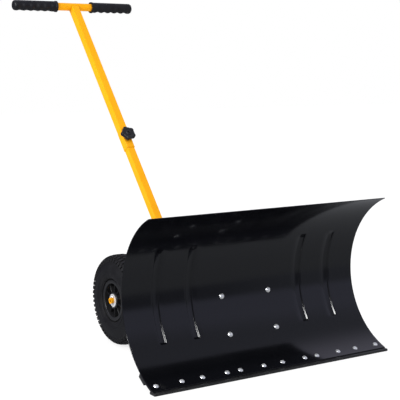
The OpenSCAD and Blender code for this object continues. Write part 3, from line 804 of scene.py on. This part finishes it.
def star_outline(turn, scale):
    """Radius of a five-lobed knob at an angle, with its lobes and hollows both rounded."""
    lobes = 5
    lobe_centre, lobe_r, hub_r = 16 * MM, 7 * MM, 19.2 * MM
    blend = 2.6 * MM
    turn = (turn + math.pi / lobes) % (2 * math.pi / lobes) - math.pi / lobes
    reach = lobe_r**2 - (lobe_centre * math.sin(turn)) ** 2
    lobe = lobe_centre * math.cos(turn) + math.sqrt(reach) if reach > 0 else 0.0
    gap = max(blend - abs(lobe - hub_r), 0.0) / blend
    return (max(lobe, hub_r) + gap * gap * blend / 4) * scale


def make_star_knob(name, node, origin, axis, turned=0.0):
    """Star knob: rounded lobes, a dished top with a raised hub, and a plain underside."""
    steps = 200
    shoulder = KNOB_H - 3.2 * MM
    shoulder_r = 2.2 * MM
    top_inset = 0.11
    # Height of each layer of the lobes, and its share of the full outline
    layers = [(0.0, 0.90), (0.8 * MM, 0.965), (2.0 * MM, 1.0), (shoulder, 1.0)]
    for t in (25, 45, 65, 82):
        bend = math.radians(t)
        layers.append((shoulder + shoulder_r * math.sin(bend), 1.0 - top_inset * (1 - math.cos(bend))))
    # Radius and depth below the top of each ring of the dish and the hub
    dish = [(12.2 * MM, 1.6 * MM), (10.6 * MM, 2.1 * MM), (9.6 * MM, 2.0 * MM), (8.9 * MM, 0.4 * MM)]
    dish += [(8.2 * MM, 0), (4.6 * MM, 0), (4.2 * MM, 0.5 * MM), (4.2 * MM, 2.5 * MM)]
    points = []
    for z, scale in layers:
        for turn in turns(steps):
            r = star_outline(turn + math.radians(turned), scale * KNOB_SCALE)
            points.append((r * math.cos(turn), r * math.sin(turn), z))
    for r, depth in dish:
        points += [(r * math.cos(turn), r * math.sin(turn), KNOB_H - depth) for turn in turns(steps)]
    rows = len(layers) + len(dish)
    faces = grid_faces(rows, steps, wrap_cols=True)
    faces.append(tuple(range((rows - 1) * steps, rows * steps)))
    faces.append(tuple(reversed(range(steps))))
    points = placed(points, origin, axis)
    add_piece(name, points, faces, looks["black_plastic"], [node], sharp=38)


# ---------- welds, pins and small details ----------

WELD_STEP = 0.6 * MM
WELD_SIDES = 8


def around_path(here, behind, ahead, lean, radius, around):
    """A ring of points square to a path. Its first point faces square to lean."""
    along = (ahead - behind).normalized()
    across = along.cross(Vector(lean)).normalized()
    up = along.cross(across)
    return [here + across * (radius * math.cos(t)) + up * (radius * math.sin(t)) for t in turns(around)]


def weld_bead(name, path, radius, body, closed=False):
    """A rippled bead laid along a path of points."""
    steps = []
    for a, b in zip(path, path[1:] + path[:1] if closed else path[1:]):
        a, b = Vector(a), Vector(b)
        count = max(2, round((b - a).length / WELD_STEP))
        steps += [a.lerp(b, i / count) for i in range(count)]
    if not closed:
        steps.append(Vector(path[-1]))
    points = []
    total = len(steps)
    for i, here in enumerate(steps):
        ahead = steps[(i + 1) % total] if closed or i + 1 < total else here
        behind = steps[i - 1] if closed or i else here
        ripple = 1 + 0.14 * math.sin(i * 1.25) + random.uniform(-0.05, 0.05)
        end = 1.0 if closed else smooth_step(min(i, total - 1 - i) / 3 + 0.2)
        points += around_path(here, behind, ahead, (0.31, 0.52, 0.79), radius * ripple * end, WELD_SIDES)
    faces = grid_faces(total, WELD_SIDES, wrap_rows=closed, wrap_cols=True)
    add_piece(name, points, faces, looks["yellow_paint"], (), body=body, sharp=80)


def weld_crossbar():
    """Crossbar to the top of the pole: the pole's square outline laid on the bar."""
    pole_low, pole_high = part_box("upper_pole")
    half = (pole_high.x - pole_low.x) / 2 - 0.5 * MM
    seat = []
    for x, out in ((-half, -1), (-half, 1), (half, 1), (half, -1)):
        seat.append(BAR - POLE_AXIS * 4 * MM + Vector((x, 0, 0)) + POLE_OUT * (out * 12.6 * MM))
    weld_bead("crossbar_weld", seat, 1.5 * MM, "handle", closed=True)


def weld_saddle():
    """Saddle to the two ears: each bead follows the saddle's curved back."""
    saddle_t = 4.2 * MM
    saddle_r = BLADE_R + SHEET_T + saddle_t
    half = 46 * MM
    for node, place in (("swing_quadrant", "top"), ("bracket_lower_ear", "top"), ("swing_quadrant", "under")):
        low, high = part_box(node)
        z = high.z if place == "top" else low.z
        y = ARC_Y + math.sqrt(saddle_r**2 - (z - ARC_Z) ** 2)
        weld_bead(f"{node}_{place}_weld", [(-half, y, z), (half, y, z)], 2.0 * MM, "blade_unit")


def weld_drawbar():
    """Gussets on both sides of the drawbar, the pole's side plates along its top, and the axle."""
    beam_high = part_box("drawbar")[1]
    gusset_low, gusset_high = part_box("axle_gussets")
    plate_low, plate_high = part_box("pole_brackets")
    for side, sign in (("left", -1), ("right", 1)):
        x = sign * beam_high.x
        for level, z in (("low", gusset_low.z), ("high", gusset_high.z)):
            path = [(x, gusset_low.y + 4 * MM, z), (x, gusset_high.y - 12 * MM, z)]
            weld_bead(f"gusset_weld_{side}_{level}", path, 1.4 * MM, "chassis")
        x = sign * plate_high.x
        path = [(x, plate_low.y + 3 * MM, plate_low.z), (x, beam_high.y - 6 * MM, plate_low.z)]
        weld_bead(f"plate_weld_{side}", path, 1.6 * MM, "chassis")
    axle = centre("axle")
    for side, sign in (("left", -1), ("right", 1)):
        origin = Vector((sign * (beam_high.x + 0.3 * MM), axle.y, axle.z))
        circle = [(11.3 * MM * math.cos(turn), 11.3 * MM * math.sin(turn), 0) for turn in turns(40)]
        ring = placed(circle, origin, (1, 0, 0), (0, 0, 1))
        weld_bead(f"axle_weld_{side}", ring, 1.6 * MM, "chassis", closed=True)


def tube_along(path, radius, around=10):
    """Points and faces of a round wire along a path, with closed ends."""
    points = []
    for i, here in enumerate(path):
        ahead = path[min(i + 1, len(path) - 1)]
        behind = path[max(i - 1, 0)]
        points += around_path(here, behind, ahead, (1, 0.02, 0.01), radius, around)
    faces = grid_faces(len(path), around, wrap_cols=True)
    faces.append(tuple(range(around)))
    faces.append(tuple(range(len(points) - around, len(points))))
    return points, faces


def make_split_pins():
    """Each split pin is one bent wire: an eye above the axle and two legs below it, one of them bent back."""
    axle = centre("axle")
    pins_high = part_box("split_pins")[1]
    wire_r = 1.2 * MM
    gap = 1.1 * MM
    axle_r = 8 * MM
    eye_r = 3.4 * MM
    eye_z = axle_r + 1.2 * MM + eye_r
    # The wire as [back, up] from the axle's centre: straight leg, eye, then the bent leg
    wire = [(-gap, -axle_r - 12 * MM), (-gap, -axle_r - 6 * MM), (-gap, -axle_r - 0.6 * MM)]
    wire += [(-gap, 0), (-gap, axle_r + 0.4 * MM)]
    for t in range(-130, 131, 20):
        turn = math.radians(t)
        wire.append((eye_r * math.sin(turn), eye_z + eye_r * math.cos(turn)))
    wire += [(gap, axle_r + 0.4 * MM), (gap, 0), (gap, -axle_r - 0.6 * MM)]
    wire += [(gap + 2.5 * MM, -axle_r - 2.4 * MM), (gap + 11 * MM, -axle_r - 5.5 * MM)]
    points, faces = [], []
    for side in (-1, 1):
        pin = Vector((side * (pins_high.x - 4.6 * MM), axle.y, axle.z))
        wire_points, wire_faces = tube_along([pin + Vector((0, y, z)) for y, z in wire], wire_r)
        faces += [tuple(i + len(points) for i in face) for face in wire_faces]
        points += wire_points
    add_piece("split_pin_wires", points, faces, looks["zinc_steel"], ["split_pins"], sharp=60)


def make_valve_caps():
    """A small ribbed cap on each tyre's valve stem."""
    foot, top = -6 * MM, 1.5 * MM
    core_r = 0.2 * MM
    outline = [(core_r, foot), (3.6 * MM, foot), (4.3 * MM, foot + 0.8 * MM), (4.6 * MM, top), (core_r, top)]
    # The stem stands between two of the rim's ribs
    turn = math.radians(54)
    for side in ("left", "right"):
        middle = centre(side + "_tyre")
        outward = math.copysign(1, middle.x)
        radial = placed([(math.cos(turn), math.sin(turn), 0)], (0, 0, 0), (outward, 0, 0), (0, 0, -1))[0]
        origin = middle + Vector((outward * 8 * MM, 0, 0)) + radial * 34.5 * MM
        points = []
        for i, a in enumerate(turns(36)):
            knurl = 1.0 if i % 2 else 0.93
            points += [(r * knurl * math.cos(a), r * knurl * math.sin(a), h) for r, h in outline]
        faces = grid_faces(36, len(outline), wrap_rows=True, wrap_cols=True)
        points = placed(points, origin, radial)
        add_piece(side + "_valve_cap", points, faces, looks["black_plastic"], (), body=side + "_wheel")


# ---------- stage ----------


def make_floor():
    """A wide pale floor that glows a little, so that it stays pale under the object."""
    mesh = bpy.data.meshes.new("floor")
    half = 14.0
    corners = [(-half, -half, 0), (half, -half, 0), (half, half, 0), (-half, half, 0)]
    mesh.from_pydata(corners, [], [(0, 1, 2, 3)])
    floor = bpy.data.objects.new("floor", mesh)
    bpy.context.scene.collection.objects.link(floor)
    s = Shader("pale_floor")
    tone = s.mix(s.noise(2, 2), (0.24, 0.24, 0.24), (0.26, 0.26, 0.26))
    s.surface.inputs["Emission Color"].default_value = (1.0, 1.0, 1.0, 1.0)
    s.surface.inputs["Emission Strength"].default_value = FLOOR_GLOW
    mesh.materials.append(s.finish(tone, s.remap(s.noise(8, 2), 0.3, 0.7, 0.85, 0.95)))
    floor.visible_glossy = False


def area_light(name, place, aim, size, power):
    """A soft box at a place, turned towards aim."""
    light = bpy.data.lights.new(name, "AREA")
    light.shape = "RECTANGLE"
    light.size, light.size_y = size
    light.energy = power
    lamp = bpy.data.objects.new(name, light)
    bpy.context.scene.collection.objects.link(lamp)
    lamp.location = place
    lamp.rotation_mode = "QUATERNION"
    lamp.rotation_quaternion = (Vector(aim) - Vector(place)).to_track_quat("-Z", "Y")
    return lamp


def studio_surround():
    """White to the camera and as fill light, but shiny surfaces see dim walls, floor and ceiling."""
    world = bpy.data.worlds.new("studio")
    bpy.context.scene.world = world
    world.use_nodes = True
    sky = NodeTree(world.node_tree)
    direction = sky.nodes.new("ShaderNodeSeparateXYZ")
    sky.links.new(sky.nodes.new("ShaderNodeTexCoord").outputs["Generated"], direction.inputs[0])
    across, ahead, height = direction.outputs

    def blend(source, low, high, first, second):
        """first where source is below low, second where it is above high."""
        return sky.mix(sky.remap(source, low, high, smooth=True), first, second)

    walls = blend(across, 0.50, 0.62, (0.12, 0.125, 0.155), (0.25, 0.26, 0.31))
    ceiling = blend(height, 0.42, 0.72, (0.42, 0.43, 0.57), (0.29, 0.30, 0.37))
    right = blend(height, 0.50, 0.68, (0.27, 0.28, 0.35), (0.62, 0.61, 0.76))
    ceiling = blend(ahead, -0.25, 0.25, ceiling, right)
    above_right = blend(height, 0.03, 0.17, walls, ceiling)
    left_wall = blend(ahead, -0.60, -0.30, (0.24, 0.25, 0.31), (0.07, 0.07, 0.09))
    above_left = blend(height, 0.36, 0.46, left_wall, ceiling)
    above = blend(across, -0.25, 0.15, above_left, above_right)
    below = blend(height, -0.24, -0.11, (0.30, 0.31, 0.335), walls)
    reflected = blend(height, -0.11, -0.02, below, above)

    path = sky.nodes.new("ShaderNodeLightPath")
    shone = sky.mix(path.outputs["Is Glossy Ray"], (FILL, FILL, FILL), reflected)
    seen = sky.mix(path.outputs["Is Camera Ray"], shone, (1.0, 1.0, 1.0))
    sky.links.new(seen, sky.nodes["Background"].inputs["Color"])


def make_lighting():
    """An even surround, a soft box on each side, and one on the left seen only in reflections."""
    studio_surround()
    key = area_light("key", (-2.8, 0.4, 1.7), (0, 0.4, 0.4), (1.3, 1.1), 60)
    key.visible_glossy = False
    glint = area_light("glint", (-2.5, -0.9, 1.8), (0, 0.2, 0.3), (1.3, 1.1), 140)
    glint.visible_diffuse = False
    fill = area_light("fill", (2.6, -1.2, 2.2), (0, 0.3, 0.3), (1.4, 1.4), 12)
    fill.visible_glossy = False


def make_camera():
    """A long lens in front and to the left, a little above the blade."""
    yaw, pitch = math.radians(32.84), math.radians(7.28)
    data = bpy.data.cameras.new("camera")
    data.lens = 93.3
    data.sensor_width = 36
    camera = bpy.data.objects.new("camera", data)
    bpy.context.scene.collection.objects.link(camera)
    camera.location = (-1.564, -2.059, 0.771)
    look = Vector((math.sin(yaw) * math.cos(pitch), math.cos(yaw) * math.cos(pitch), -math.sin(pitch)))
    camera.rotation_mode = "QUATERNION"
    camera.rotation_quaternion = look.to_track_quat("-Z", "Y")
    bpy.context.scene.camera = camera


finish_cad_nodes()
make_blade()
for wheel_side in ("left", "right"):
    make_tyre(wheel_side)
    side_wall_rings(wheel_side)
    make_rim(wheel_side)
    make_grip(wheel_side)
knob_joint = Vector(joints["pole_knob_turn"]["pos_m"])
make_star_knob("pole_star_knob", "pole_knob", knob_joint + POLE_OUT * KNOB_SEAT, POLE_OUT, 36)
clamp_foot = Vector((0, centre("clamp_knob").y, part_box("clamp_knob")[0].z))
make_star_knob("clamp_star_knob", "clamp_knob", clamp_foot, (0, 0, 1))
make_collar()
weld_crossbar()
weld_saddle()
weld_drawbar()
make_split_pins()
make_valve_caps()
make_floor()
make_lighting()
make_camera()
bpy.context.scene.view_settings.view_transform = "Standard"
